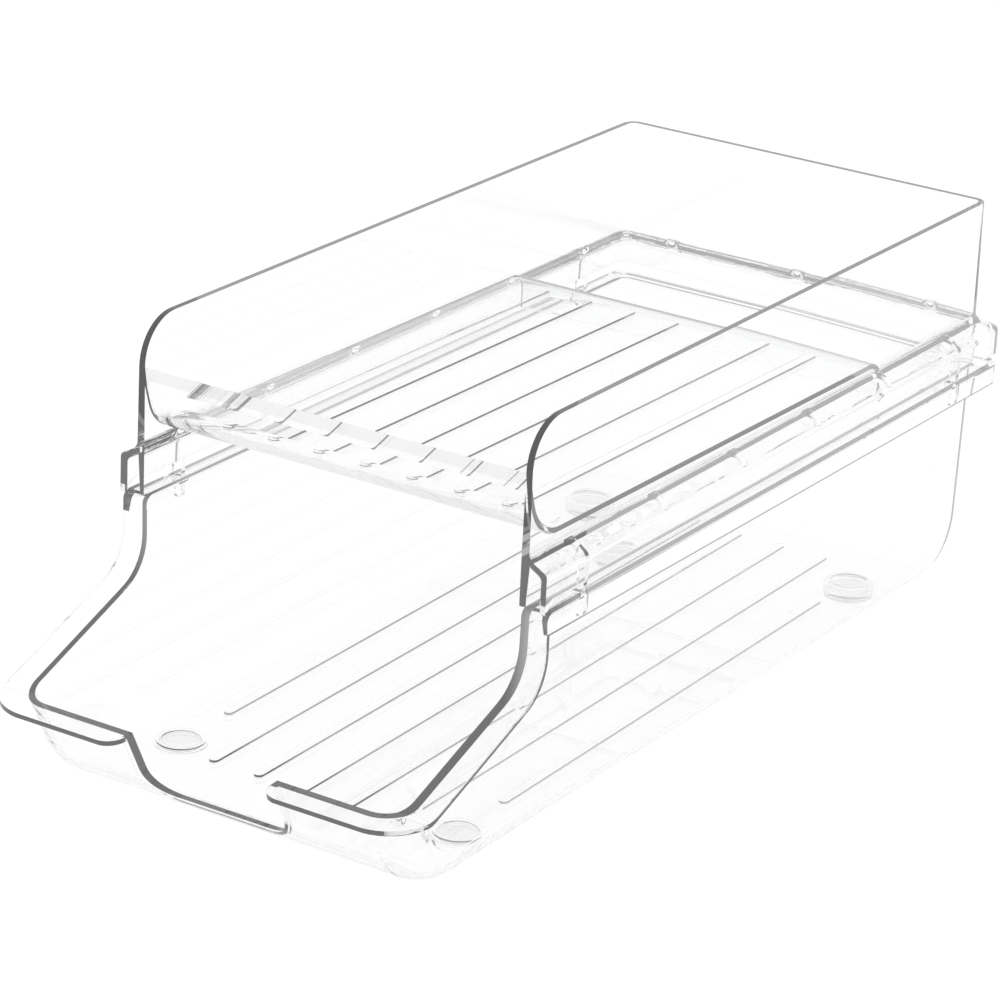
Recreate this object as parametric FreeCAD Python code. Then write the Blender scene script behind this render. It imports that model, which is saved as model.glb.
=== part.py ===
import FreeCAD, Part
import math
import os

from FreeCAD import Vector

# Two-tier rolling can dispenser, moulded in clear plastic.
# Millimetres. X runs across, Y from the front (low) to the back, Z up.
# The origin is on the table, under the middle of the whole object.

# Overall sizes
WIDTH = 162.0             # across the two outer rims
LENGTH = 372.3            # front lip to back rim
HEIGHT = 141.2            # table to the top edge of the upper bin
UPPER_LENGTH = 300.8      # front edge of the upper bin to the back of its skirt
WALL = 2.4                # side, back and front walls of both bins
WALL_TOP = 2.1            # the upper bin's walls at their top edge
WALL_SPREAD = 0.4         # its outer faces spread this much from the top to the shoulder
RIM_OVERHANG = 7.0        # a bin's wall to the outer face of its rim

# Lower bin: rim
LEDGE_TOP = 81.4          # the level on which the upper bin stands
LEDGE_THICK = 1.6
LEDGE_SETBACK = 1.6       # the ledge ends this far behind the upper bin's front edge
LEDGE_NOSE = 3.0          # radius where the ledge turns down at the front
LIP_DROP = 7.2            # depth of the downturned edge below the ledge's top
LIP_ROOT = 3.0            # its thickness at the ledge
LIP_TIP = 1.7             # and at its lower edge
RIM_SLOPE = 21.4          # degrees, the side rims' fall towards the front
RIM_SWEEP = 30.0          # radius between the upright and the sloping rim
RIM_REACH = 13.5          # front lip's outer edge to where the slope begins
FRONT_LIP_TOP = 34.2      # height of the front lip
FRONT_LIP_FALL = 4.0      # degrees, the front lip's own fall outwards
RIM_FRONT_CORNER = 17.0

# Lower bin: tub
TUB_DRAFT = 0.9           # degrees, sides and back lean in towards the floor
FRONT_LEAN = 27.5         # degrees, the front wall's lean from upright
FRONT_SWEEP = 32.0        # outer radius from the front wall into the floor
BACK_SWEEP = 20.0         # the same from the back wall
TUB_FRONT_CORNER = 8.0    # outer radius of the upright corners at the front
TUB_SIDE_EDGE = 12.0      # the same rounding where it runs along the floor's sides
TUB_BACK_CORNER = 5.0     # and up the corners at the back
FLOOR = 2.0
FLOOR_UNDER = 0.8         # height of the floor's underside at the front feet
FLOOR_SLOPE = 0.85        # degrees, so that cans roll to the front

# Lower bin: finger notch in the front wall
NOTCH_WIDTH = 55.0
NOTCH_FLOOR = 10.2        # height of the notch's lowest edge
NOTCH_CORNER = 10.0
NOTCH_MOUTH = 6.5         # radius at the lip's outer edge
NOTCH_BEAD = 1.8          # width of the raised bead round the notch
NOTCH_BEAD_PROUD = 0.8

# Lanes: low ribs that the cans roll on
RIB_PITCH = 17.75
RIB_WIDTH = 3.4
RIB_HEIGHT = 0.8
RIBS_EACH_SIDE = 3
LOWER_RIB_START = 61.8    # from the front lip
LOWER_RIB_LENGTH = 270.7
OUTER_RIB_START = 93.5    # the outermost pair runs between the feet
OUTER_RIB_LENGTH = 203.0
UPPER_RIB_START = 18.0    # from the upper bin's front edge
UPPER_RIB_LENGTH = 190.5

# Feet
FOOT_FROM_SIDE = 27.7     # foot's centre from the outer face of the side rim
FOOT_FROM_FRONT = 69.3    # and from the front lip
FOOT_FROM_BACK = 53.8     # and from the back rim
FOOT_RING = 17.5          # outer diameter of the ring boss
PAD_DIAMETER = 14.0
PAD_THICK = 1.3
PAD_PROUD = 0.5           # how far a pad stands below its boss
PAD_EDGE = 0.3
PAD_CLEARANCE = 0.1       # round and above the pad, in its recess
BEAD_OUTER = 16.4         # diameters of the low ring on the floor's top, over each foot
BEAD_INNER = 13.0
BEAD_HEIGHT = 0.4

# Upper bin: walls, shoulder and skirt
BACK_CORNER = 5.0         # upright back corners, on the walls' outer face
RIM_BACK_CORNER = 6.5     # the same, on the outer face of the skirt and the rim
UPPER_RIM_CORNER = 15.5   # radius of the side walls' top front corners
SHOULDER_ROOT = 98.4      # the shoulder's slope, carried in to the wall
SHOULDER_EDGE = 94.7      # the same slope, carried out to the skirt
SHOULDER_HOLLOW = 3.6     # radius between the wall and the shoulder
SHOULDER_ROUND = 1.8      # radius between the shoulder and the skirt
SHOULDER_THICK = 2.8      # measured upright
CHANNEL_HOLLOW = 0.8      # radius under the shoulder, at the leg
CHANNEL_ROUND = 2.4       # and at the skirt
CHANNEL_MOUTH = 0.8       # radius round the channel's open front end
FLARE_LEVELS = 13         # outlines that a smooth flare passes through
SKIRT_WALL = 2.4
SKIRT_GAP = 4.1           # skirt's lower edge above the ledge
SKIRT_TOE = 0.4           # the same at the front, where the skirt dips to a toe
SKIRT_TOE_LENGTH = 8.0
LEG_GAP = 1.2             # inner leg's lower edge above the ledge
LEG_TIP = 1.9             # inner leg's thickness at its lower edge

# Upper bin: ramp
RAMP_THICK = 1.8
RAMP_LIP_TOP = 125.8
RAMP_LIP_LEAN = 17.0      # degrees, the front lip's lean from upright
RAMP_SCOOP = 24.0         # radius between the front lip and the ramp
RAMP_FRONT = 103.7        # height of the ramp's surface at the scoop
RAMP_SLOPE = 0.55         # degrees, down to the drop gap
RAMP_LENGTH = 222.0       # front edge to the turned-down back edge
RAMP_CURL = 13.0
RAMP_CURL_END = 87.0

# Upper bin: gussets on the shoulder
GUSSET_FIRST = 21.2       # from the upper bin's front edge
GUSSET_PITCH = 48.8
GUSSETS_PER_SIDE = 6
BACK_GUSSET_PITCH = 53.3
GUSSET_BASE = 6.8         # radius of the half cone at the shoulder's edge
GUSSET_TOP = 2.4          # and at its top
GUSSET_HEIGHT = 4.4
GUSSET_DOME = 0.9         # radius round its top

# Upper bin: posts that stand on the ledge, and the tabs below them
POST_FIRST = 24.6         # from the upper bin's front edge
POST_SPACING = 244.0
POST_INSET = 1.7          # from the wall's outer face
POST_DEPTH = 4.1          # across the channel
POST_WIDTH = 2.0          # along the bin, of a post and of its tab
TAB_DEPTH = 3.1
TAB_DROP = 7.8            # the tab's tip below the ledge's top
TAB_LEAD_IN = 0.8         # chamfer on the tab's tip
SLOT_CLEARANCE = 0.35     # round the tab, in the ledge's slot

# Worked-out places
FRONT_Y = -LENGTH / 2
BACK_Y = LENGTH / 2
FACE_Y = BACK_Y - UPPER_LENGTH
HALF_WIDTH = WIDTH / 2
WALL_HALF = HALF_WIDTH - RIM_OVERHANG
WALL_BACK = BACK_Y - RIM_OVERHANG
INNER_HALF = WALL_HALF - WALL
SKIRT_INNER = HALF_WIDTH - SKIRT_WALL
POST_X = WALL_HALF + POST_INSET + POST_DEPTH / 2
TAB_X = WALL_HALF + POST_INSET + TAB_DEPTH / 2
LEG_BOTTOM = LEDGE_TOP + LEG_GAP
TOE_BOTTOM = LEDGE_TOP + SKIRT_TOE
FOOT_X = HALF_WIDTH - FOOT_FROM_SIDE
FRONT_FOOT_Y = FRONT_Y + FOOT_FROM_FRONT
BACK_FOOT_Y = BACK_Y - FOOT_FROM_BACK

# Working allowances, none of which shows on the part
SPARE = 20.0              # how far a cutting tool reaches past what it cuts
CORNER_SHARE = 0.49       # most of a side's length that one corner's arc may use
SHARP = 0.01              # a radius below this leaves the corner sharp


def tan(degrees):
    return math.tan(math.radians(degrees))


def cos(degrees):
    return math.cos(math.radians(degrees))


def round_corner(before, here, after, radius):
    """Start, middle and end of the arc that rounds a corner; no middle if it stays sharp."""
    back = before - here
    ahead = after - here
    room = CORNER_SHARE * min(back.Length, ahead.Length)
    back.normalize()
    ahead.normalize()
    half_angle = back.getAngle(ahead) / 2
    reach = min(radius / math.tan(half_angle), room)
    radius = reach * math.tan(half_angle)
    if radius < SHARP:
        return here, None, here
    inward = back + ahead
    inward.normalize()
    middle = here + inward * (radius / math.sin(half_angle) - radius)
    return here + back * reach, middle, here + ahead * reach


def rounded_wire(corners, place):
    """Closed wire through (a, b, radius) corners, each rounded by a tangent arc."""
    points = [Vector(a, b, 0) for a, b, radius in corners]
    count = len(corners)
    arcs = []
    for i in range(count):
        arcs.append(round_corner(points[i - 1], points[i], points[(i + 1) % count], corners[i][2]))
    edges = []
    for i in range(count):
        start, middle, end = (place(p) if p else None for p in arcs[i])
        following = place(arcs[(i + 1) % count][0])
        if middle:
            edges.append(Part.Arc(start, middle, end).toShape())
        if (following - end).Length > SHARP / 10:
            edges.append(Part.LineSegment(end, following).toShape())
    return Part.Wire(edges)


def side_prism(corners, half_width):
    """Solid with a (y, z) profile, from -half_width to +half_width in X."""
    wire = rounded_wire(corners, lambda p: Vector(-half_width, p.x, p.y))
    return Part.Face(wire).extrude(Vector(2 * half_width, 0, 0))


def front_prism(corners, y_from, y_to):
    """Solid with an (x, z) profile, from y_from to y_to."""
    wire = rounded_wire(corners, lambda p: Vector(p.x, y_from, p.y))
    return Part.Face(wire).extrude(Vector(0, y_to - y_from, 0))


def plan_wire(corners, z):
    return rounded_wire(corners, lambda p: Vector(p.x, p.y, z))


def plan_prism(corners, z_from, z_to):
    """Solid with an (x, y) outline, from z_from to z_to."""
    return Part.Face(plan_wire(corners, z_from)).extrude(Vector(0, 0, z_to - z_from))


def outline(half_width, y_from, y_to, front_radius, back_radius):
    """Corners of a rectangle seen from above."""
    return [
        (-half_width, y_from, front_radius),
        (half_width, y_from, front_radius),
        (half_width, y_to, back_radius),
        (-half_width, y_to, back_radius),
    ]


def band(path, thickness):
    """Corners of a closed band that lies to the left of an open (y, z) path.

    Where the path turns left, the band's inner corner has the smaller radius."""
    near = []
    count = len(path)
    for i in range(count):
        here = Vector(path[i][0], path[i][1], 0)
        before = Vector(path[max(i - 1, 0)][0], path[max(i - 1, 0)][1], 0)
        after = Vector(path[min(i + 1, count - 1)][0], path[min(i + 1, count - 1)][1], 0)
        arriving = here - before if i > 0 else after - here
        leaving = after - here if i < count - 1 else here - before
        arriving.normalize()
        leaving.normalize()
        left_in = Vector(-arriving.y, arriving.x, 0)
        left_out = Vector(-leaving.y, leaving.x, 0)
        toward = left_in + left_out
        offset = toward * (2 * thickness / (toward.Length ** 2))
        turns_left = arriving.cross(leaving).z > 0
        radius = path[i][2]
        if radius > 0:
            radius = max(radius - thickness, 0) if turns_left else radius + thickness
        near.append((here.x + offset.x, here.y + offset.y, radius))
    return list(path) + near[::-1]


def fuse(solids):
    return solids[0].multiFuse(solids[1:]).removeSplitter()


def floor_height(y, above_underside=0.0):
    """Height of the lower bin's sloping floor at y, measured from its underside."""
    return FLOOR_UNDER + above_underside + (y - FRONT_FOOT_Y) * tan(FLOOR_SLOPE)


def rim_path():
    """Top of the lower bin's rim, seen from the side, from the back to the front lip."""
    column = FACE_Y + LEDGE_SETBACK
    slope_foot = FRONT_Y + RIM_REACH
    sweep_z = FRONT_LIP_TOP + (column - slope_foot) * tan(RIM_SLOPE)
    return [
        (BACK_Y, LEDGE_TOP, 0),
        (column, LEDGE_TOP, LEDGE_NOSE),
        (column, sweep_z, RIM_SWEEP),
        (slope_foot, FRONT_LIP_TOP, LEDGE_NOSE),
        (FRONT_Y, FRONT_LIP_TOP - RIM_REACH * tan(FRONT_LIP_FALL), 0),
    ]


def foot_of_wall(y_at_table, lean_out, floor_rise):
    """Height at which a wall's line meets the floor's line."""
    slope = tan(FLOOR_SLOPE)
    return (floor_height(0, floor_rise) + y_at_table * slope) / (1 - tan(lean_out) * slope)


def tub_block(inset, floor_rise):
    """The tub's outer form, inset by a wall, with a sloping floor and rounded edges."""
    low = -SPARE
    high = LEDGE_TOP + SPARE

    def half_width(z):
        return WALL_HALF - inset - (LEDGE_TOP - z) * tan(TUB_DRAFT)

    def front(z):
        return FRONT_Y + RIM_OVERHANG + (FRONT_LIP_TOP - z) * tan(FRONT_LEAN) + inset / cos(FRONT_LEAN)

    def back(z):
        return WALL_BACK - inset - (LEDGE_TOP - z) * tan(TUB_DRAFT)

    front_foot = foot_of_wall(front(0), -FRONT_LEAN, floor_rise)
    back_foot = foot_of_wall(back(0), TUB_DRAFT, floor_rise)
    across = front_prism([
        (-half_width(low), low, 0),
        (half_width(low), low, 0),
        (half_width(high), high, 0),
        (-half_width(high), high, 0),
    ], FRONT_Y - HEIGHT, BACK_Y + SPARE)
    along = side_prism([
        (front(front_foot), front_foot, FRONT_SWEEP - inset),
        (back(back_foot), back_foot, BACK_SWEEP - inset),
        (back(high), high, 0),
        (front(high), high, 0),
    ], WIDTH)
    return round_the_tub(across.common(along).Solids[0], inset)


def round_the_tub(block, inset):
    """Round the edge that runs down a front corner, along the floor and up the back corner.

    Its radius differs in the three stretches and changes over the sweeps between them."""
    document = FreeCAD.newDocument("rounding")
    sharp = document.addObject("Part::Feature", "sharp")
    sharp.Shape = block
    rounded = document.addObject("Part::Fillet", "rounded")
    rounded.Base = sharp
    side = TUB_SIDE_EDGE - inset
    radii = []
    for number, edge in enumerate(block.Edges, 1):
        box = edge.BoundBox
        if box.XLength > WIDTH / 2 or box.ZMin > LEDGE_TOP:
            continue
        at_front = edge.CenterOfMass.y < block.CenterOfMass.y
        corner = (TUB_FRONT_CORNER if at_front else TUB_BACK_CORNER) - inset
        if not isinstance(edge.Curve, Part.Line):
            downward = edge.valueAt(edge.FirstParameter).z > edge.valueAt(edge.LastParameter).z
            radii.append((number, corner, side) if downward else (number, side, corner))
        elif box.YLength > box.ZLength:
            radii.append((number, side, side))
        else:
            radii.append((number, corner, corner))
    rounded.Edges = radii
    document.recompute()
    shape = rounded.Shape.copy()
    FreeCAD.closeDocument(document.Name)
    return shape


def notch_corners(grow):
    """Outline of the finger notch seen from the front, grown by a bead's width."""
    half = NOTCH_WIDTH / 2 + grow
    top = FRONT_LIP_TOP + SPARE
    return [
        (-half, top, 0),
        (half, top, 0),
        (half, NOTCH_FLOOR - grow, NOTCH_CORNER + grow),
        (-half, NOTCH_FLOOR - grow, NOTCH_CORNER + grow),
    ]


def rim_plate():
    """The flat ledge, its upright front, the sloping side rims and the front lip."""
    half_mouth = NOTCH_WIDTH / 2
    plate = side_prism(band(rim_path(), LEDGE_THICK), WIDTH)
    edge = [
        (-HALF_WIDTH, FRONT_Y, RIM_FRONT_CORNER),
        (-half_mouth, FRONT_Y, NOTCH_MOUTH),
        (-half_mouth, FRONT_Y + SPARE, 0),
        (half_mouth, FRONT_Y + SPARE, 0),
        (half_mouth, FRONT_Y, NOTCH_MOUTH),
        (HALF_WIDTH, FRONT_Y, RIM_FRONT_CORNER),
        (HALF_WIDTH, BACK_Y, RIM_BACK_CORNER),
        (-HALF_WIDTH, BACK_Y, RIM_BACK_CORNER),
    ]
    return plate.common(plan_prism(edge, -SPARE, HEIGHT))


def round_the_back(offset, front_y, back_radius):
    """Outline of the upper bin's walls, offset outwards, open-ended towards the front."""
    return outline(WALL_HALF + offset, front_y, WALL_BACK + offset, 0, back_radius)


def rim_lip():
    """The downturned edge under the ledge, along both sides and the back."""
    start = FACE_Y + LEDGE_SETBACK + LEDGE_THICK / 2
    bottom = LEDGE_TOP - LIP_DROP
    top = LEDGE_TOP - LEDGE_THICK / 2
    block = plan_prism(round_the_back(RIM_OVERHANG, start, RIM_BACK_CORNER), bottom, top)
    hollow = Part.makeLoft([
        plan_wire(round_the_back(RIM_OVERHANG - LIP_TIP, start - SPARE, RIM_BACK_CORNER - LIP_TIP), bottom),
        plan_wire(round_the_back(RIM_OVERHANG - LIP_ROOT, start - SPARE, RIM_BACK_CORNER - LIP_ROOT), top),
    ], True, True)
    return block.cut(hollow)


def rib(x, y_from, y_to, base_from, base_to):
    """One low rib with a flat top and round ends."""
    root = WALL / 4
    half = RIB_WIDTH / 2
    bar = side_prism([
        (y_from, base_from - root, 0),
        (y_to, base_to - root, 0),
        (y_to, base_to + RIB_HEIGHT, 0),
        (y_from, base_from + RIB_HEIGHT, 0),
    ], RIB_WIDTH)
    shape = bar.common(plan_prism(outline(half, y_from, y_to, half, half), -SPARE, HEIGHT))
    shape.translate(Vector(x, 0, 0))
    return shape


def lower_ribs():
    ribs = []
    for i in range(-RIBS_EACH_SIDE, RIBS_EACH_SIDE + 1):
        outermost = abs(i) == RIBS_EACH_SIDE
        y_from = FRONT_Y + (OUTER_RIB_START if outermost else LOWER_RIB_START)
        y_to = y_from + (OUTER_RIB_LENGTH if outermost else LOWER_RIB_LENGTH)
        ribs.append(rib(i * RIB_PITCH, y_from, y_to, floor_height(y_from, FLOOR), floor_height(y_to, FLOOR)))
    return ribs


def foot_places():
    return {
        "front_left": (-FOOT_X, FRONT_FOOT_Y),
        "front_right": (FOOT_X, FRONT_FOOT_Y),
        "back_left": (-FOOT_X, BACK_FOOT_Y),
        "back_right": (FOOT_X, BACK_FOOT_Y),
    }


def post_places():
    """Side (-1 or 1) and y of the four posts, each with its tab and the tab's slot."""
    first = FACE_Y + POST_FIRST
    return [(side, y) for side in (-1, 1) for y in (first, first + POST_SPACING)]


def centred_box(x, y, size_x, size_y, z_from, z_to):
    corner = Vector(x - size_x / 2, y - size_y / 2, z_from)
    return Part.makeBox(size_x, size_y, z_to - z_from, corner)


def floor_bead(x, y):
    """Low ring on the floor's top, round the foot's place."""
    bottom = floor_height(y, FLOOR / 2)
    height = FLOOR / 2 + BEAD_HEIGHT
    place = Vector(x, y, bottom)
    return Part.makeCylinder(BEAD_OUTER / 2, height, place).cut(Part.makeCylinder(BEAD_INNER / 2, height, place))


def make_lower_bin():
    outer = tub_block(0, 0)
    cavity = tub_block(WALL, FLOOR)
    path = rim_path()
    under_rim = side_prism(path + [(FRONT_Y, -SPARE, 0), (BACK_Y, -SPARE, 0)], WIDTH)
    notch = front_prism(notch_corners(0), FRONT_Y - SPARE, FACE_Y)
    bead_zone = front_prism(notch_corners(NOTCH_BEAD), FRONT_Y - SPARE, FACE_Y)
    bead = tub_block(-NOTCH_BEAD_PROUD, 0).common(bead_zone)
    shell = fuse([outer.common(under_rim), rim_plate(), rim_lip(), bead.common(under_rim)])
    bosses = []
    beads = []
    recesses = []
    for x, y in foot_places().values():
        boss_top = floor_height(y, FLOOR / 2)
        place = Vector(x, y, PAD_PROUD)
        bosses.append(Part.makeCylinder(FOOT_RING / 2, boss_top - PAD_PROUD, place))
        beads.append(floor_bead(x, y))
        below = Vector(x, y, PAD_PROUD - SPARE)
        recess_height = PAD_THICK + PAD_CLEARANCE - PAD_PROUD + SPARE
        recesses.append(Part.makeCylinder(PAD_DIAMETER / 2 + PAD_CLEARANCE, recess_height, below))
    slots = []
    for side, y in post_places():
        slot_x = TAB_DEPTH + 2 * SLOT_CLEARANCE
        slot_y = POST_WIDTH + 2 * SLOT_CLEARANCE
        slot_bottom = LEDGE_TOP - TAB_DROP - SLOT_CLEARANCE
        slots.append(centred_box(side * TAB_X, y, slot_x, slot_y, slot_bottom, LEDGE_TOP + LEDGE_THICK))
    shell = shell.fuse(bosses)
    shell = shell.cut([cavity, notch] + recesses + slots)
    return fuse([shell] + beads + lower_ribs())


def make_foot_pad(x, y):
    pad = Part.makeCylinder(PAD_DIAMETER / 2, PAD_THICK, Vector(x, y, 0))
    sole = min(pad.Faces, key=lambda face: face.CenterOfMass.z)
    return pad.makeFillet(PAD_EDGE, sole.Edges)


def slope_height(offset):
    """Height of the shoulder's slope at an offset from the walls' outline."""
    share = (offset - WALL_SPREAD) / (RIM_OVERHANG - WALL_SPREAD)
    return SHOULDER_ROOT + share * (SHOULDER_EDGE - SHOULDER_ROOT)


def flared_block(above, root, edge, hollow_radius, round_radius, front_y):
    """Solid under a flare, which is hollow at its root and rounded at its edge.

    A point holds an offset from the walls' outline and a height. The heights at which the
    flare starts and at which it turns upright are returned too."""
    below = Vector(edge.x, TOE_BOTTOM - SPARE, 0)
    hollow = round_corner(above, root, edge, hollow_radius)
    rounded = round_corner(root, edge, below, round_radius)
    curve = Part.Wire([
        Part.Arc(*hollow).toShape(),
        Part.LineSegment(hollow[2], rounded[0]).toShape(),
        Part.Arc(*rounded).toShape(),
    ])
    levels = []
    for point in curve.discretize(Number=FLARE_LEVELS):
        share = point.x / RIM_OVERHANG
        radius = BACK_CORNER + share * (RIM_BACK_CORNER - BACK_CORNER)
        levels.append(plan_wire(round_the_back(point.x, front_y, radius), point.y))
    return Part.makeLoft(levels, True, False), hollow[0].y, rounded[2].y


def shoulder_block(front_y):
    """The flare between the walls and the skirt."""
    root = Vector(WALL_SPREAD, SHOULDER_ROOT, 0)
    edge = Vector(RIM_OVERHANG, SHOULDER_EDGE, 0)
    return flared_block(Vector(0, HEIGHT, 0), root, edge, SHOULDER_HOLLOW, SHOULDER_ROUND, front_y)


def channel_block(front_y):
    """The hollow under the shoulder. Its roof follows the shoulder at an even thickness."""
    offset = RIM_OVERHANG - SKIRT_WALL
    root = Vector(WALL_SPREAD, SHOULDER_ROOT - SHOULDER_THICK, 0)
    edge = Vector(offset, slope_height(offset) - SHOULDER_THICK, 0)
    above = Vector(WALL_SPREAD, HEIGHT, 0)
    flare, top, turn = flared_block(above, root, edge, CHANNEL_HOLLOW, CHANNEL_ROUND, front_y)
    radius = BACK_CORNER + offset / RIM_OVERHANG * (RIM_BACK_CORNER - BACK_CORNER)
    upright = plan_prism(round_the_back(offset, front_y, radius), TOE_BOTTOM, turn)
    return upright.fuse(flare), top


def walls_and_skirt():
    """Walls, inner leg, shoulder and skirt, with the inverted channel between leg and skirt."""
    front = FACE_Y - SPARE
    shoulder, _, skirt_top = shoulder_block(front)
    skirt = plan_prism(round_the_back(RIM_OVERHANG, front, RIM_BACK_CORNER), TOE_BOTTOM, skirt_top)
    channel, channel_top = channel_block(front - SPARE)
    hung = skirt.fuse([shoulder] + gussets()).cut(channel).cut(skirt_trim())
    walls = Part.makeLoft([
        plan_wire(round_the_back(WALL_SPREAD, front, BACK_CORNER), SHOULDER_ROOT),
        plan_wire(round_the_back(0, front, BACK_CORNER), HEIGHT),
    ], True, True)
    leg = Part.makeLoft([
        plan_wire(round_the_back(LEG_TIP - WALL, front, BACK_CORNER), LEG_BOTTOM),
        plan_wire(round_the_back(WALL_SPREAD, front, BACK_CORNER), channel_top),
    ], True, True)
    outer_limit = plan_prism(round_the_back(RIM_OVERHANG, front, RIM_BACK_CORNER), 0, HEIGHT)
    return fuse([walls, leg, hung]).common(outer_limit)


def lane_block():
    """The space between the walls, slightly wider at the top."""
    front = FACE_Y - 2 * SPARE
    opening = (WALL - WALL_TOP) / (HEIGHT - SHOULDER_ROOT)
    top = HEIGHT + SPARE
    top_inset = WALL_TOP - opening * SPARE
    lower = plan_prism(round_the_back(-WALL, front, BACK_CORNER - WALL), 0, SHOULDER_ROOT)
    upper = Part.makeLoft([
        plan_wire(round_the_back(-WALL, front, BACK_CORNER - WALL), SHOULDER_ROOT),
        plan_wire(round_the_back(-top_inset, front, BACK_CORNER - WALL), top),
    ], True, True)
    return lower.fuse(upper)


def skirt_trim():
    """What is cut away under the skirt: all but the toe at the front."""
    bottom = LEDGE_TOP + SKIRT_GAP
    y_to = BACK_Y + SPARE
    return side_prism([
        (FACE_Y - SPARE, TOE_BOTTOM - SPARE, 0),
        (y_to, TOE_BOTTOM - SPARE, 0),
        (y_to, bottom, 0),
        (FACE_Y + SKIRT_TOE_LENGTH / 2, bottom, SKIRT_TOE_LENGTH),
        (FACE_Y, TOE_BOTTOM, 0),
        (FACE_Y - SPARE, TOE_BOTTOM, 0),
    ], WIDTH)


def ramp_path():
    """Top of the ramp, seen from the side, from its turned-down back edge to the front lip."""
    back = FACE_Y + RAMP_LENGTH
    scoop = FACE_Y + (RAMP_LIP_TOP - RAMP_FRONT) * tan(RAMP_LIP_LEAN)
    back_top = RAMP_FRONT - RAMP_LENGTH * tan(RAMP_SLOPE)
    return [
        (back, RAMP_CURL_END, 0),
        (back, back_top, RAMP_CURL),
        (scoop, RAMP_FRONT, RAMP_SCOOP),
        (FACE_Y, RAMP_LIP_TOP, 0),
    ]


def ramp_height(y):
    return RAMP_FRONT - (y - FACE_Y) * tan(RAMP_SLOPE)


def upper_ribs():
    ribs = []
    y_from = FACE_Y + UPPER_RIB_START
    y_to = y_from + UPPER_RIB_LENGTH
    for i in range(-RIBS_EACH_SIDE, RIBS_EACH_SIDE + 1):
        ribs.append(rib(i * RIB_PITCH, y_from, y_to, ramp_height(y_from), ramp_height(y_to)))
    return ribs


def gusset(x, y):
    """A half cone with a rounded top, in the corner between a wall and the shoulder."""
    cone = Part.makeCone(GUSSET_BASE, GUSSET_TOP, GUSSET_HEIGHT, Vector(x, y, SHOULDER_EDGE))
    top = max(cone.Faces, key=lambda face: face.CenterOfMass.z)
    return cone.makeFillet(GUSSET_DOME, top.Edges)


def gussets():
    made = []
    for i in range(GUSSETS_PER_SIDE):
        y = FACE_Y + GUSSET_FIRST + i * GUSSET_PITCH
        made += [gusset(-WALL_HALF, y), gusset(WALL_HALF, y)]
    for i in (-1, 0, 1):
        made.append(gusset(i * BACK_GUSSET_PITCH, WALL_BACK))
    return made


def locating_tab(side, y):
    """Plate below a post, with a lead-in at its tip."""
    tip = LEDGE_TOP - TAB_DROP
    half = TAB_DEPTH / 2
    x = side * TAB_X
    return front_prism([
        (x - half, LEDGE_TOP, 0),
        (x - half, tip + TAB_LEAD_IN, 0),
        (x - half + TAB_LEAD_IN, tip, 0),
        (x + half - TAB_LEAD_IN, tip, 0),
        (x + half, tip + TAB_LEAD_IN, 0),
        (x + half, LEDGE_TOP, 0),
    ], y - POST_WIDTH / 2, y + POST_WIDTH / 2)


def posts():
    """The posts that stand on the ledge inside the channel, with the tabs below them."""
    made = []
    roof = slope_height(POST_INSET) - SHOULDER_THICK
    top = (roof + slope_height(POST_INSET + POST_DEPTH)) / 2
    for side, y in post_places():
        made.append(centred_box(side * POST_X, y, POST_DEPTH, POST_WIDTH, LEDGE_TOP, top))
        made.append(locating_tab(side, y))
    return made


def mouth_edges(shape):
    """Edges of the channel's open front end."""
    edges = []
    for edge in shape.Edges:
        middle = edge.valueAt((edge.FirstParameter + edge.LastParameter) / 2)
        on_face = edge.BoundBox.YLength < SHARP and abs(middle.y - FACE_Y) < SHARP
        across = INNER_HALF + WALL / 2 < abs(middle.x) < SKIRT_INNER + SHARP
        if on_face and across and LEG_BOTTOM + SHARP < middle.z < SHOULDER_ROOT - WALL:
            edges.append(edge)
    return edges


def make_upper_bin():
    outside = fuse([walls_and_skirt()] + posts())
    outside = outside.cut(lane_block())
    ramp = side_prism(band(ramp_path(), RAMP_THICK), INNER_HALF + WALL / 2)
    profile = side_prism([
        (FACE_Y, 0, 0),
        (BACK_Y + SPARE, 0, 0),
        (BACK_Y + SPARE, HEIGHT, 0),
        (FACE_Y, HEIGHT, UPPER_RIM_CORNER),
    ], WIDTH)
    moulded = fuse([outside, ramp] + upper_ribs()).common(profile)
    return moulded.makeFillet(CHANNEL_MOUTH, mouth_edges(moulded))


def write(name, shape):
    if len(shape.Solids) != 1 or not shape.isValid():
        print("check", name, "solids", len(shape.Solids), "valid", shape.isValid())
    solid = shape.Solids[0] if len(shape.Solids) == 1 else shape
    solid.exportStep("parts/" + name + ".step")
    box = solid.BoundBox
    print(name, "volume", round(solid.Volume), "z", round(box.ZMin, 2), round(box.ZMax, 2))


os.makedirs("parts", exist_ok=True)
write("lower_bin", make_lower_bin())
write("upper_bin", make_upper_bin())
for place_name, (foot_x, foot_y) in foot_places().items():
    write("foot_pad_" + place_name, make_foot_pad(foot_x, foot_y))
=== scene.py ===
# %% [markdown]
# # A rolling can dispenser in clear plastic
# Two moulded bins, one standing on the other, and four soft feet.
# The shapes are already made, so this notebook gives them their plastic, lights them and looks
# at them. Nothing here moves or changes a shape.
# Everything is in metres, and the table is at z = 0.

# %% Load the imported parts
from math import radians

import bpy
from mathutils import Euler, Matrix

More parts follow.
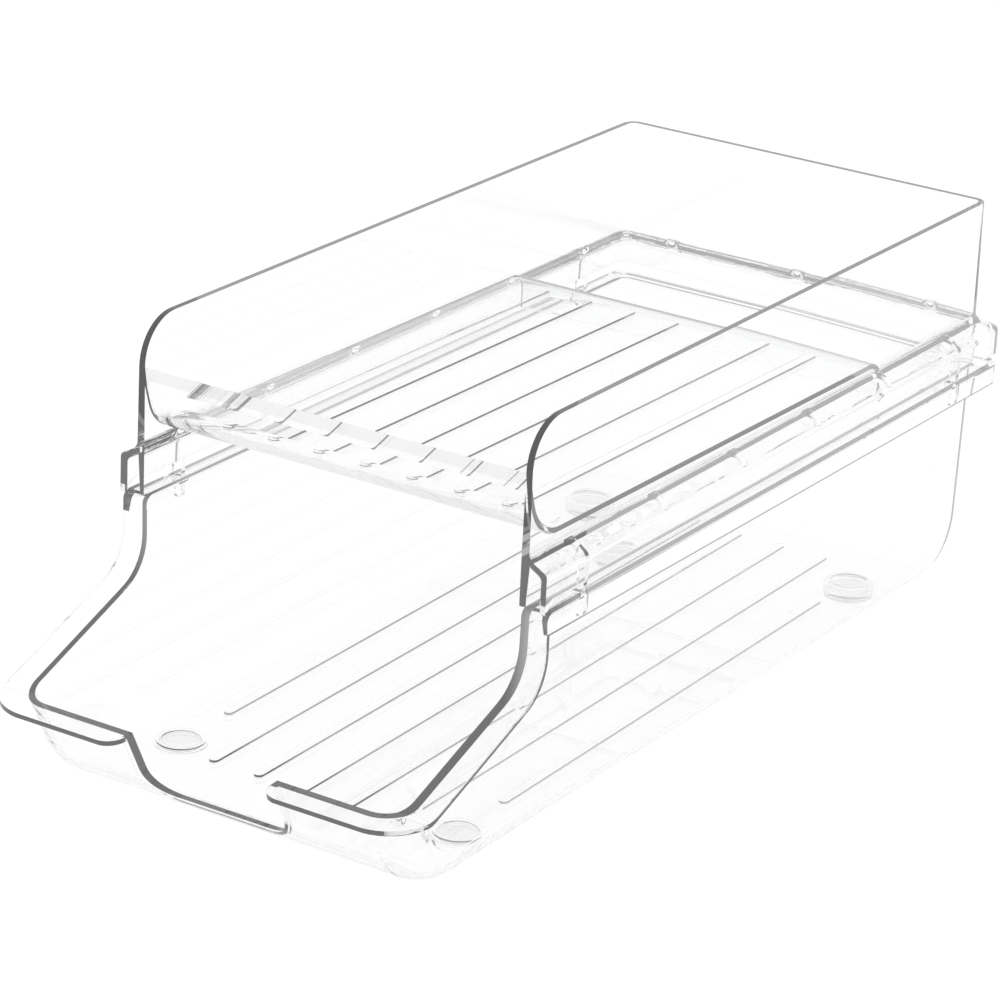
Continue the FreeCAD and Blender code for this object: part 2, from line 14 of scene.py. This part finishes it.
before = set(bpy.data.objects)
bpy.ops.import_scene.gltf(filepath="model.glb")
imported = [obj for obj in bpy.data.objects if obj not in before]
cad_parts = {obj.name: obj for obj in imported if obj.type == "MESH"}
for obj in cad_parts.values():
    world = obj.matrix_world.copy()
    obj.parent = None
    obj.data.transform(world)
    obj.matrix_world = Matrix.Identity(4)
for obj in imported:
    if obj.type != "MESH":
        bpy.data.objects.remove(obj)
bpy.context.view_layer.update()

# %% [markdown]
# ## Small helpers for node trees
# A material could be wired by hand in the Shader Editor. Built by a script, it can be read,
# changed in one place and made again. These helpers keep each step to a line.


# %% Node helpers
def add_node(tree, kind, **settings):
    node = tree.nodes.new(kind)
    for name, value in settings.items():
        setattr(node, name, value)
    return node


def math_node(tree, operation, first, second=0):
    """A Math node whose inputs are sockets or plain numbers."""
    node = add_node(tree, "ShaderNodeMath", operation=operation)
    for socket, value in zip(node.inputs, (first, second)):
        if isinstance(value, (int, float)):
            socket.default_value = value
        else:
            tree.links.new(value, socket)
    return node.outputs[0]


def mix_shaders(tree, share, first, second):
    """The first shader where share is 0, the second where it is 1."""
    mix = add_node(tree, "ShaderNodeMixShader")
    for socket, value in zip(mix.inputs, (share, first, second)):
        tree.links.new(value, socket)
    return mix.outputs[0]


def noise_at(tree, place, scale, detail, stretch):
    """Noise over the object's own coordinates, in metres, stretched along an axis."""
    mapping = add_node(tree, "ShaderNodeMapping")
    mapping.inputs["Scale"].default_value = stretch
    tree.links.new(place, mapping.inputs["Vector"])
    noise = add_node(tree, "ShaderNodeTexNoise")
    noise.inputs["Scale"].default_value = scale
    noise.inputs["Detail"].default_value = detail
    tree.links.new(mapping.outputs[0], noise.inputs["Vector"])
    return noise.outputs["Fac"]


print("helpers ready")

# %% [markdown]
# ## The moulded surface
# The real bins are injection moulded in a clear plastic. The solids are closed and have their
# true thickness, so a Principled surface with full transmission bends light at both faces, as
# the real wall does. A thin see-through shader would be quicker, but it would show no edges.
# The mould leaves a faint waviness along the bin, which is a bump of a few hundredths of a
# millimetre, and sliding cans leave fine scuffs along it, which are rougher specks.

# %% Waves and scuffs
CLEAR_IOR = 1.49
POLISH = 0.008
WAVE_SCALE = 16
WAVE_DETAIL = 2.0
WAVE_STRETCH = (1, 0.35, 1)
SCUFF_SCALE = 900
SCUFF_DETAIL = 4
SCUFF_STRETCH = (1, 0.08, 1)
SCUFF_LEVEL = 0.62


def moulded_surface(tree, place, tint, wave, haze):
    waves = noise_at(tree, place, WAVE_SCALE, WAVE_DETAIL, WAVE_STRETCH)
    scuffs = noise_at(tree, place, SCUFF_SCALE, SCUFF_DETAIL, SCUFF_STRETCH)
    scuffed = math_node(tree, "MULTIPLY", math_node(tree, "GREATER_THAN", scuffs, SCUFF_LEVEL), haze)
    bump = add_node(tree, "ShaderNodeBump")
    bump.inputs["Strength"].default_value = 1.0
    bump.inputs["Distance"].default_value = wave
    tree.links.new(waves, bump.inputs["Height"])
    surface = add_node(tree, "ShaderNodeBsdfPrincipled")
    surface.inputs["Base Color"].default_value = (*tint, 1)
    surface.inputs["Transmission Weight"].default_value = 1.0
    surface.inputs["IOR"].default_value = CLEAR_IOR
    tree.links.new(math_node(tree, "ADD", scuffed, POLISH), surface.inputs["Roughness"])
    tree.links.new(bump.outputs[0], surface.inputs["Normal"])
    return surface.outputs[0]


print("index of refraction", CLEAR_IOR)

# %% [markdown]
# ## Light that is trapped in a wall
# At a cut edge, light is mirrored inside the wall again and again. On the real bin it comes out
# somewhere else, and the edge looks grey. Following it needs many bounces. Here it is stopped
# at its third mirroring, and the wall glows with a grey instead: painted light and shade in
# place of the light that would come out.
# The greys are chosen from the photograph, and they change with the place on the bin:
# dark at the front edges, paler on the tub and below the ramp. That is a liberty. It suits this
# light and this view, and it isn't something that the plastic does by itself.


# %% The painted greys of trapped light, by place
def grey_along(tree, place, axis, span, greys):
    """A grey that goes from the first of two values to the second, along one axis."""
    parts = add_node(tree, "ShaderNodeSeparateXYZ")
    tree.links.new(place, parts.inputs[0])
    fade = add_node(tree, "ShaderNodeMapRange", interpolation_type="SMOOTHSTEP")
    tree.links.new(parts.outputs[axis], fade.inputs["Value"])
    fade.inputs["From Min"].default_value, fade.inputs["From Max"].default_value = span
    fade.inputs["To Min"].default_value, fade.inputs["To Max"].default_value = greys
    return fade.outputs[0]


LOWER_FADE_Y = (-0.105, -0.08)
LOWER_GREYS = (0.13, 0.4)


def lower_bin_grey(tree, place):
    """Painted glow of trapped light: dark at the lip and the sloping rims in front, a painted shade,
    paler towards the back.
    """
    return grey_along(tree, place, "Y", LOWER_FADE_Y, LOWER_GREYS)


UPPER_FADE_Z = (0.098, 0.102)
UPPER_GREYS = (0.42, 0.22)
WALL_SIDE = 0.069
FRONT_EDGE = -0.075
# Painted shade: the glow is dimmed at the walls' front edges.
FRONT_PAINTED_SHADE = 0.65


def upper_bin_grey(tree, place):
    """Painted glow of trapped light: paler in the skirt than in the walls above it, and darker at the
    walls' front edges, a painted shade.
    """
    grey = grey_along(tree, place, "Z", UPPER_FADE_Z, UPPER_GREYS)
    parts = add_node(tree, "ShaderNodeSeparateXYZ")
    tree.links.new(place, parts.inputs[0])
    aside = math_node(tree, "GREATER_THAN", math_node(tree, "ABSOLUTE", parts.outputs["X"]), WALL_SIDE)
    ahead = math_node(tree, "LESS_THAN", parts.outputs["Y"], FRONT_EDGE)
    cut = math_node(tree, "MULTIPLY", math_node(tree, "MULTIPLY", aside, ahead), FRONT_PAINTED_SHADE)
    return math_node(tree, "MULTIPLY", grey, math_node(tree, "SUBTRACT", 1.0, cut))


PAD_GREY = 0.7


def pad_grey(tree, place):
    """A painted glow of trapped light in one grey, as the pads are too small for a change along them.
    """
    value = add_node(tree, "ShaderNodeValue")
    value.outputs[0].default_value = PAD_GREY
    return value.outputs[0]


print("pad grey", PAD_GREY)

# %% [markdown]
# ## Clear plastic, put together
# Clear plastic throws only a pale shadow. Bent light could carry the table's brightness through
# the walls, but that takes very many samples. So light on its way to the table passes straight
# through, a little dimmed at each face, and only the rays that are seen are bent.

# %% The clear plastic material
MIRRORINGS = 2.5  # a ray with more than this, so three, is caught
FACE_PASSES = 0.992


def clear_plastic(name, tint, wave, haze, grey):
    material = bpy.data.materials.new(name)
    material.use_nodes = True
    tree = material.node_tree
    tree.nodes.clear()
    place = add_node(tree, "ShaderNodeTexCoord").outputs["Object"]
    surface = moulded_surface(tree, place, tint, wave, haze)
    # A painted glow: the wall gives off this grey in place of the light that would come out.
    painted_glow = add_node(tree, "ShaderNodeEmission")
    painted_glow.inputs["Color"].default_value = (1, 1, 1, 1)
    tree.links.new(grey(tree, place), painted_glow.inputs["Strength"])
    rays = add_node(tree, "ShaderNodeLightPath").outputs
    caught = math_node(tree, "GREATER_THAN", rays["Glossy Depth"], MIRRORINGS)
    bent = mix_shaders(tree, caught, surface, painted_glow.outputs[0])
    passing = add_node(tree, "ShaderNodeBsdfTransparent")
    passing.inputs["Color"].default_value = (FACE_PASSES, FACE_PASSES, FACE_PASSES, 1)
    lighting = math_node(tree, "MAXIMUM", rays["Is Shadow Ray"], rays["Is Diffuse Ray"])
    output = add_node(tree, "ShaderNodeOutputMaterial")
    looks = mix_shaders(tree, lighting, bent, passing.outputs[0])
    tree.links.new(looks, output.inputs["Surface"])
    print(name, "has", len(tree.nodes), "nodes")
    return material


# %% [markdown]
# ## Dress the bins
# Both bins are the same hard plastic, polished by the mould. They could share one material, but
# the greys at their edges differ, so each has its own.

# %% Bins
BIN_TINT = (0.985, 0.987, 0.988)
BIN_WAVE = 0.00003
BIN_HAZE = 0.03


def dress(node, material):
    """Give a carried part one material in all of its slots."""
    slots = bpy.data.objects[node].material_slots
    for slot in slots:
        slot.material = material
    print(node, "has", len(slots), "slot in", material.name)


dress("lower_bin", clear_plastic("clear_bin_lower", BIN_TINT, BIN_WAVE, BIN_HAZE, lower_bin_grey))
dress("upper_bin", clear_plastic("clear_bin_upper", BIN_TINT, BIN_WAVE, BIN_HAZE, upper_bin_grey))

# %% [markdown]
# ## Dress the foot pads
# The pads are taken to be softer and a little cloudier than the bins, to grip a shelf. The same
# recipe makes them, with more tint and more haze.

# %% Foot pads
PAD_TINT = (0.96, 0.96, 0.955)
PAD_WAVE = 0.00002
PAD_HAZE = 0.12

pad_clear = clear_plastic("clear_pad", PAD_TINT, PAD_WAVE, PAD_HAZE, pad_grey)
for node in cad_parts:
    if node.startswith("foot_pad"):
        dress(node, pad_clear)

# %% [markdown]
# ## The table
# A wide pale floor that takes the object's shadow. The camera, and rays that a clear wall bends
# or mirrors, see it a little brighter, so that it reads as white. Diffuse rays don't see that lift.
# It lies a tenth of a millimetre under the pads' soles, so that two faces never share a place.

# %% Floor
FLOOR_HALF = 3.0
FLOOR_Z = -0.0001
FLOOR_COLOUR = (0.9, 0.9, 0.9, 1)
FLOOR_ROUGHNESS = 0.9
FLOOR_LIFT = 0.07

floor_mesh = bpy.data.meshes.new("floor")
corners = [(-FLOOR_HALF, -FLOOR_HALF, FLOOR_Z), (FLOOR_HALF, -FLOOR_HALF, FLOOR_Z),
           (FLOOR_HALF, FLOOR_HALF, FLOOR_Z), (-FLOOR_HALF, FLOOR_HALF, FLOOR_Z)]
floor_mesh.from_pydata(corners, [], [(0, 1, 2, 3)])
floor = bpy.data.objects.new("floor", floor_mesh)
bpy.context.collection.objects.link(floor)
print("floor is", 2 * FLOOR_HALF, "m wide")

# %% Floor paint
floor_paint = bpy.data.materials.new("floor_paint")
floor_paint.use_nodes = True
tree = floor_paint.node_tree
surface = tree.nodes["Principled BSDF"]
surface.inputs["Base Color"].default_value = FLOOR_COLOUR
surface.inputs["Roughness"].default_value = FLOOR_ROUGHNESS
rays = add_node(tree, "ShaderNodeLightPath").outputs
bent = math_node(tree, "MAXIMUM", rays["Is Glossy Ray"], rays["Is Transmission Ray"])
seen = math_node(tree, "MAXIMUM", rays["Is Camera Ray"], bent)
lift = add_node(tree, "ShaderNodeEmission")
lift.inputs["Color"].default_value = (1, 1, 1, 1)
tree.links.new(math_node(tree, "MULTIPLY", seen, FLOOR_LIFT), lift.inputs["Strength"])
both = add_node(tree, "ShaderNodeAddShader")
tree.links.new(surface.outputs[0], both.inputs[0])
tree.links.new(lift.outputs[0], both.inputs[1])
tree.links.new(both.outputs[0], tree.nodes["Material Output"].inputs["Surface"])
floor_mesh.materials.append(floor_paint)
print("floor paint has", len(tree.nodes), "nodes")

# %% [markdown]
# ## Light
# A white room lights the object evenly, as a light tent does in a studio, and a large soft lamp
# above gives the shadow a direction. A small hard lamp would put sharp glints on every rim.

# %% World and lamp
LAMP_PLACE = (0.2, 0.1, 1.6)
LAMP_SIZE = 1.2
LAMP_WATTS = 3

world = bpy.data.worlds.new("room")
bpy.context.scene.world = world
world.use_nodes = True
background = world.node_tree.nodes["Background"]
background.inputs["Color"].default_value = (1, 1, 1, 1)
background.inputs["Strength"].default_value = 1.0

lamp_data = bpy.data.lights.new("overhead", "AREA")
lamp_data.shape = "DISK"
lamp_data.size = LAMP_SIZE
lamp_data.energy = LAMP_WATTS
lamp = bpy.data.objects.new("overhead", lamp_data)
lamp.location = LAMP_PLACE
bpy.context.collection.objects.link(lamp)
print("lamp at", LAMP_PLACE, "with", LAMP_WATTS, "W")

# %% [markdown]
# ## The camera
# Its place, its turn and its lens were fitted to the bins' straight rims in the photograph, so
# the render can be laid over it. It stands far off with a long lens, which is why the far end
# of the object hardly looks smaller than the near end.

# %% Camera
CAMERA_PLACE = (0.7157, -1.14595, 0.5937)
CAMERA_TURN = (68.557, -2.522, 33.321)
CAMERA_LENS = 156.74
SENSOR_WIDTH = 36
VIEW_DEPTH = 20

camera_data = bpy.data.cameras.new("camera")
camera_data.sensor_width = SENSOR_WIDTH
camera_data.lens = CAMERA_LENS
camera_data.clip_end = VIEW_DEPTH
camera = bpy.data.objects.new("camera", camera_data)
turn = Euler([radians(angle) for angle in CAMERA_TURN], "XYZ").to_matrix().to_4x4()
camera.matrix_world = Matrix.Translation(CAMERA_PLACE) @ turn
bpy.context.collection.objects.link(camera)
bpy.context.scene.camera = camera
bpy.context.scene.view_settings.view_transform = "Standard"
print("camera with a", CAMERA_LENS, "mm lens")
